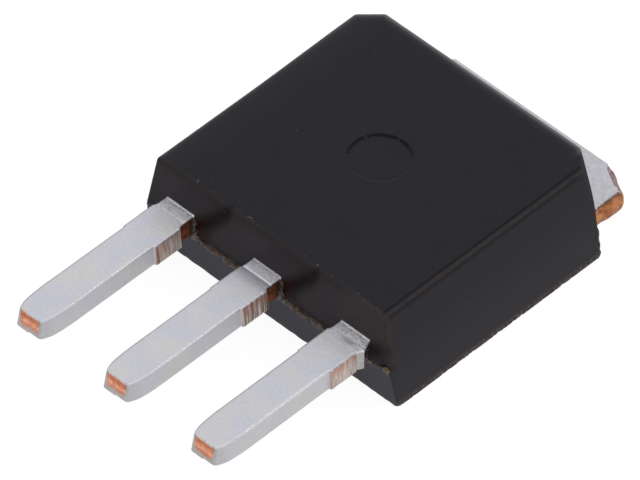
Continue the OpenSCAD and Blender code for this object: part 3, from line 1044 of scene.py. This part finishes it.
def paddle_and_tab():
    """The paddle and tab as a grid, finer at the shear's edges and where the neck joins"""
    neck = [share * NECK_HALF for share in LEAD_SHARES]
    left = steps(-TAB_HALF, (-TAB_HALF + 0.12, 0.015), (-TAB_HALF + LIP_W - HAIR, 0.06))
    left += [-TAB_HALF + LIP_W] + steps(-TAB_HALF + LIP_W, (-NECK_HALF, 0.1))[1:-1]
    xs = left + neck + [-x for x in reversed(left)]
    ys = steps(PADDLE_Y, (LIP_END_Y - HAIR, 0.45))
    tab_stops = ((REAR_Y - 0.25, 0.1), (CUT_FROM_Y - 0.1, 0.04), (TAB_Y - 0.04, 0.02), (TAB_Y, 0.01))
    ys += steps(LIP_END_Y, *tab_stops)
    bm = grid_block(xs, ys, LEAD_UPS)
    for v in bm.verts:
        x, y, up = v.co
        v.co = tab_point(x, y, up)
    return bm


def tab_bulge(y, side, height, on_cut, on_side):
    """How far the sheared edge of the tab stands out, with the roll and burr of the shear"""
    bulge = TAB_BULGE + SIDE_BULGE * inside(y, CUT_FROM_Y - 0.44, CUT_FROM_Y - 0.04, 0.1) * (1 - on_cut)
    bulge = max(bulge, TAB_BULGE + SIDE_BULGE * inside(y, CUT_FROM_Y - 0.14, CUT_FROM_Y + 0.03, 0.07))
    at_cut = 0.045 * inside(y, CUT_FROM_Y + 0.03, TAB_Y - 0.03, 0.035)
    bulge += at_cut + 0.02 * inside(y, TAB_Y - 0.16, TAB_Y - 0.05, 0.03)
    bulge *= math.sqrt(max(0.0, math.sin(math.pi * min(1.0, height / 0.92)))) * on_side
    bulge -= 0.05 * on_cut * on_side * rise(height, 0.8, 0.98) * fall(y, TAB_Y - 0.06, TAB_Y - 0.01)
    return bulge + 0.006 * wobble(y, height, side, fine=8, seed=11) * on_side


def tab_point(x, y, up):
    """Place of a point of the paddle and tab"""
    side = 1 if x >= 0 else -1
    half = tab_half(y)
    outside = rise(y, REAR_Y - 0.4, REAR_Y - 0.1)
    share = abs(x) / TAB_HALF
    side_gap, end_gap, flat_gap = half * (1 - share), TAB_Y - y, STRIP_T * min(up, 1 - up)
    if outside > 0 and share > 0.8:
        side_gap, flat_gap = round_corner([side_gap, flat_gap], TAB_EDGE_R)
    z = flat_gap if up < 0.5 else STRIP_T - flat_gap
    if up == 0.5:
        z = STRIP_T / 2
    height = z / STRIP_T
    on_side = fall(side_gap, 0, 0.15) * outside
    on_cut = rise(y, CUT_FROM_Y - 0.02, CUT_FROM_Y + 0.02)
    outward = Vector((1, 0)).lerp(Vector((TAB_CUT_Y, TAB_CUT_X)).normalized(), on_cut)
    out = outward * tab_bulge(y, side, height, on_cut, on_side)
    if y < LIP_END_Y - HAIR / 2 and abs(x) > TAB_HALF - LIP_W - HAIR / 2:
        z = max(z, LIP_RISE)
    else:
        lift = 0.003 * wobble(x, y, fine=3, seed=12) - 0.003
        z = max(0.0, min(STRIP_T, z + lift * rise(height, 0.6, 1) * outside))
    rear = min(TAB_Y, TAB_Y - end_gap - TOP_SETTLE * outside + out.y)
    return Vector((side * (half - side_gap + out.x), rear, z))


def strip_paint(piece, centre, look):
    """Where the copper shows, and where the tin is dull or glints"""
    def on_lead(p):
        return abs(p.x - centre) < 0.6 and p.y < FRONT_Y + 0.2

    def up(p):
        return (p.z - LEAD_UNDER) / STRIP_T

    def side_gap(p):
        return lead_half(p.y, 1, up(p), look) - (p.x - centre)

    def edge_gap(p):
        side = 1 if p.x > centre else -1
        return lead_half(p.y, side, up(p), look) - abs(p.x - centre)

    def tab_gap(p):
        return tab_half(p.y) - abs(p.x)

    def tip_face(p, depth):
        """1 on the sheared face of the tip"""
        return fall(p.y - TIP_LEAN * up(p), TIP_Y + 0.008, TIP_Y + depth)

    def top(p):
        return rise(p.z, LEAD_TOP - 0.1, LEAD_TOP - 0.03) * (1 if on_lead(p) else 0)

    def cut(p):
        """The sheared sides of the dam bar stubs"""
        if not on_lead(p):
            return 0
        along = inside(p.y, STUB_TO - 0.005, STUB_FROM + 0.01, 0.012)
        return along * fall(edge_gap(p), 0.03, 0.05) * fall(up(p), 0.9, 0.97)

    def grooved(p):
        return cut(p) * look["grooves"]

    def brown_end(p):
        return cut(p) * look["brown_end"] * inside(p.y, STUB_TO, STUB_TO + 0.08, 0.015)

    def salmon(p):
        return cut(p) * rise(up(p), 0.45, 0.85) * look["salmon"]

    def old_copper(p):
        """Tarnished copper on the sides of the roots"""
        if not on_lead(p) or (look["swollen"] and p.x > centre):
            return 0
        side = fall(edge_gap(p), 0.03, 0.06) * fall(up(p), 0.9, 0.97)
        start = STUB_FROM + (0 if p.x > centre else 0.1)
        return side * rise(p.y, start - 0.01, start + 0.03)

    def olive(p):
        return old_copper(p) * max(rise(up(p), 0.75, 0.9), inside(p.y, FRONT_Y - 0.1, FRONT_Y, 0.03))

    def fresh_copper(p):
        """Bright copper on the tip's face, with an uneven lower edge"""
        if not on_lead(p):
            return 0
        across = fall(abs(p.x - centre), TIP_HALF - 0.04, TIP_HALF - 0.005)
        uneven = 0.08 * wobble(p.x, fine=6, seed=look["seed"])
        low_edge = rise(up(p), uneven, 0.62 + uneven)
        return tip_face(p, 0.03) * across * low_edge * (1 - 0.6 * rise(up(p), 0.84, 0.92))

    # Painted highlight across the middle of the tip's copper face
    def streak(p):
        return tip_face(p, 0.03) * inside(up(p), 0.46, 0.62, 0.08) if on_lead(p) else 0

    def tab_copper(p):
        """Copper on the straight sheared sides of the tab"""
        if p.y < REAR_Y or p.y > GREY_FROM_Y:
            return 0
        height = rise(p.z, 0.005, 0.03) * fall(p.z, STRIP_T - 0.04, STRIP_T - 0.01)
        return fall(tab_gap(p), -0.005, 0.015) * height

    def grey_cut(p):
        """Greyish cut faces of the tab's corners and end"""
        if p.y < GREY_FROM_Y or p.z < 0.01:
            return 0
        return fall(tab_gap(p), 0.16, 0.18) * fall(p.z, STRIP_T - 0.022, STRIP_T - 0.01)

    def burr_and_shade_line(p):
        """Dark lines along the burrs of the cut faces, partly painted shade: under the burr along the top of
        the tab's sheared side and at its foot
        """
        if not on_lead(p):
            near = fall(tab_gap(p), 0.02, 0.05) if p.y > REAR_Y else 0
            low = 0.6 * fall(p.z, 0.04, 0.1)
            return near * max(0.9 * inside(p.z, STRIP_T - 0.058, STRIP_T - 0.008, 0.01), low)
        tip = tip_face(p, 0.04)
        across = 0.55 * tip * inside(up(p), 0.79, 0.86, 0.04)
        at_end = inside(abs(p.x - centre), TIP_HALF - 0.04, TIP_HALF - 0.01, 0.01)
        ends = 0.4 * tip * at_end * rise(up(p), 0.6, 0.8)
        root = 0.5 * inside(p.y, STUB_TO, FRONT_Y, 0.02) * inside(side_gap(p), 0, 0.02, 0.008)
        seam = 0
        if look["swollen"]:
            seam = 0.55 * inside(p.y, STUB_FROM - 0.015, STUB_FROM + 0.015, 0.01) * on_right_side(p)
        return max(across, ends, root * inside(up(p), 0.9, 0.97, 0.02), seam)

    def on_right_side(p):
        return fall(side_gap(p), 0.03, 0.06)

    def smear(p):
        """Tin dragged down over the sides by the shear"""
        if not on_lead(p):
            return 0
        swollen_side = rise(p.y, STUB_FROM, STUB_FROM + 0.04) * on_right_side(p)
        tip_side = 0.6 * fall(p.y, TIP_Y + 0.05, TIP_Y + 0.6) * on_right_side(p)
        whole_side = 0.28 * fall(side_gap(p), 0.0, 0.03)
        below = fall(up(p), 0.88, 0.98)
        return below * max(tip_face(p, 0.08), tip_side, swollen_side, whole_side)

    def left_line(p):
        """Thin dark line along the left edge"""
        left = lead_half(p.y, -1, up(p), look) + p.x - centre
        return 0.6 * inside(left, -0.01, 0.03, 0.01) * rise(up(p), 0.7, 0.9) if on_lead(p) else 0

    def dull(p):
        if p.y > REAR_Y:
            return 0.6 * rise(p.z, STRIP_T - 0.03, STRIP_T - 0.01)
        return top(p) * rise(p.y, COIN_Y - look["dull_reach"], COIN_Y + 0.03) * look["dull"]

    # Painted light on the tin next to the wall, against the wall's shade, or on the coined strip
    def bright(p):
        if look["hollow"] > 0.5:
            return 0.8 * top(p) * rise(p.y, COIN_Y + 0.01, COIN_Y + 0.07)
        return 0.8 * top(p) * rise(p.y, FRONT_Y - 0.55, FRONT_Y - 0.1)

    def pitted(p):
        """Small pits: a row of dots at the wall, and scattered ones before it"""
        dots = 0.6 * inside(p.y, FRONT_Y - 0.045, FRONT_Y - 0.008, 0.012)
        return top(p) * max(dots, look["pitted"] * rise(p.y, FRONT_Y - 0.45, FRONT_Y - 0.2))

    def hollow(p):
        """Shade in the hollow before the coined strip, or in the dent"""
        if look["dent"]:
            return 0.5 * top(p) * dent_depth(p.x - centre, p.y, 0.16, 0.07)
        past = COIN_Y - 0.018 - p.y
        deep = math.exp(-max(0.0, past) / 0.13) * rise(past, -0.012, 0.012)
        return top(p) * look["hollow"] * deep

    def glint(p):
        """Sparks along the burr of the right edge"""
        edge = inside(side_gap(p), 0.005, 0.04, 0.012) * fall(p.y, STUB_TO - 0.2, STUB_TO)
        edge *= rise(p.y, TIP_Y + 0.3, TIP_Y + 0.9)
        return 0.8 * top(p) * edge if on_lead(p) else 0

    def rim(p):
        """Painted highlight on the lip of tin at the wall, along the coined strip and on its left edge"""
        if not on_lead(p):
            return 0
        line = inside(p.y, FRONT_Y + 0.004, FRONT_Y + 0.06, 0.008)
        lip = 0.28 * look["hollow"] * inside(p.y, COIN_Y - 0.01, COIN_Y + 0.035, 0.01)
        left = 0.4 * inside(p.x - centre + ROOT_HALF, 0, 0.04, 0.015) * rise(p.y, COIN_Y, COIN_Y + 0.05)
        return top(p) * max(line, left, lip)

    paint(piece, cut, grooved, brown_end, salmon, old_copper, olive, fresh_copper, streak)
    paint(piece, tab_copper, grey_cut, burr_and_shade_line, smear, left_line, bright, dull, pitted, hollow, glint, rim)


# Stage, light and camera


def stage(material):
    """The white card that the part lies on"""
    bm = bmesh.new()
    bmesh.ops.create_grid(bm, x_segments=8, y_segments=8, size=0.6)
    bmesh.ops.translate(bm, vec=(0, 0, -0.01 * MM), verts=bm.verts)
    floor = new_object(bm, "floor_sheet")
    floor.data.materials.append(material)


def light_tent():
    """Soft light from all round that looks white where it is seen"""
    world = bpy.data.worlds.new("light_tent")
    bpy.context.scene.world = world
    world.use_nodes = True
    tree = world.node_tree
    seen = add(tree, "ShaderNodeBackground", {"Color": (1, 1, 1, 1), "Strength": 1.0})
    tent = add(tree, "ShaderNodeBackground", {"Color": (1, 1, 1, 1), "Strength": 0.72})
    mixed = add(tree, "ShaderNodeMixShader", {0: looked_at(tree), 1: tent.outputs[0], 2: seen.outputs[0]})
    tree.links.new(mixed.outputs[0], tree.nodes["World Output"].inputs["Surface"])


def direction(azimuth, elevation):
    """The way from the part to a place round it; azimuth 0 is in front of the leads"""
    az, el = math.radians(azimuth), math.radians(elevation)
    return Vector((math.sin(az) * math.cos(el), -math.cos(az) * math.cos(el), math.sin(el)))


def soft_lamp(name, azimuth, elevation, distance, size, power):
    """A soft box that looks at the part, with its distance and size in metres"""
    lamp = bpy.data.lights.new(name, "AREA")
    lamp.shape = "SQUARE"
    lamp.size = size
    lamp.energy = power
    back = direction(azimuth, elevation)
    holder = bpy.data.objects.new(name, lamp)
    turn = back.to_track_quat("Z", "Y").to_matrix().to_4x4()
    holder.matrix_world = Matrix.Translation(back * distance) @ turn
    bpy.context.scene.collection.objects.link(holder)


# The photograph's view, found from the part's own corners: angles in degrees, distances in millimetres
VIEW_AZ = 43.526
VIEW_EL = 45.845
VIEW_ROLL = 0.895
VIEW_DISTANCE = 198.38
VIEW_FOCUS_PX = 10453.9
VIEW_TARGET = Vector((-0.790, -0.774, -0.006))
FRAME_WIDTH_PX = 640


def photo_camera():
    """The camera of the photograph"""
    az, roll = math.radians(VIEW_AZ), math.radians(VIEW_ROLL)
    back = direction(VIEW_AZ, VIEW_EL)
    level = Vector((math.cos(az), math.sin(az), 0))
    upright = back.cross(level)
    right = math.cos(roll) * level + math.sin(roll) * upright
    up = math.cos(roll) * upright - math.sin(roll) * level
    lens = bpy.data.cameras.new("photo_camera")
    lens.sensor_fit = "HORIZONTAL"
    lens.sensor_width = 36
    lens.lens = VIEW_FOCUS_PX * lens.sensor_width / FRAME_WIDTH_PX
    lens.clip_start = 0.01
    lens.clip_end = 10
    camera = bpy.data.objects.new("photo_camera", lens)
    turn = Matrix((right, up, back)).transposed().to_4x4()
    camera.matrix_world = Matrix.Translation((VIEW_TARGET + back * VIEW_DISTANCE) * MM) @ turn
    bpy.context.scene.collection.objects.link(camera)
    bpy.context.scene.camera = camera


# The part

# What sets the leads apart: the coined step at the wall and the hollow before it, the dent, the swollen
# side of the root, and how dull, pitted, grooved, pink and brown the tin and the cut faces are
BASE_LOOK = {
    "seed": 1.3, "step": 0.001, "hollow": 0.1, "dent": False, "swollen": False,
    "dull": 0.1, "dull_reach": 0.05, "pitted": 0.28,
    "grooves": 0.2, "salmon": 0.25, "ridges": 0.35, "brown_end": 0.8,
}
MIDDLE_LOOK = {
    "seed": 4.1, "step": 0.005, "hollow": 0.72, "dent": False, "swollen": False,
    "dull": 0.1, "dull_reach": 0.03, "pitted": 0.2,
    "grooves": 0.7, "salmon": 0.75, "ridges": 1, "brown_end": 0.25,
}
EMITTER_LOOK = {
    "seed": 8.7, "step": 0, "hollow": 0, "dent": True, "swollen": True,
    "dull": 0.15, "dull_reach": 0.3, "pitted": 0.4,
    "grooves": 0.2, "salmon": 0.7, "ridges": 0.5, "brown_end": 0.2,
}

photo_camera()
light_tent()
soft_lamp("top_box", azimuth=75, elevation=62, distance=0.5, size=0.5, power=0.6)
stage(floor_card())

body_paint(resin_body(moulded_resin()))
parting_flash(resin_flash())

tinned = tinned_strip()
strip_paint(outer_lead("base_lead_strip", "base_lead", -1, BASE_LOOK, tinned), -PITCH, BASE_LOOK)
strip_paint(collector_strip(MIDDLE_LOOK, tinned), 0, MIDDLE_LOOK)
strip_paint(outer_lead("emitter_lead_strip", "emitter_lead", 1, EMITTER_LOOK, tinned), PITCH, EMITTER_LOOK)

wafer = plain_metal("silicon_wafer", (118, 122, 136), (96, 100, 116), 3, 0.12, 0.25)
solder = plain_metal("soft_solder", (170, 171, 175), (140, 141, 146), 8, 0.35, 0.55)
wire = plain_metal("drawn_wire", (222, 223, 226), (196, 198, 202), 20, 0.25, 0.4, (0.3, 0.3, 1))
inner_finishes = {
    "silicon_die": wafer, "die_solder": solder,
    "base_wire": wire, "emitter_wire_1": wire, "emitter_wire_2": wire,
}
for node_name, finish in inner_finishes.items():
    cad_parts[node_name].data.materials.clear()
    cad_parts[node_name].data.materials.append(finish)

bpy.context.scene.view_settings.view_transform = "Standard"
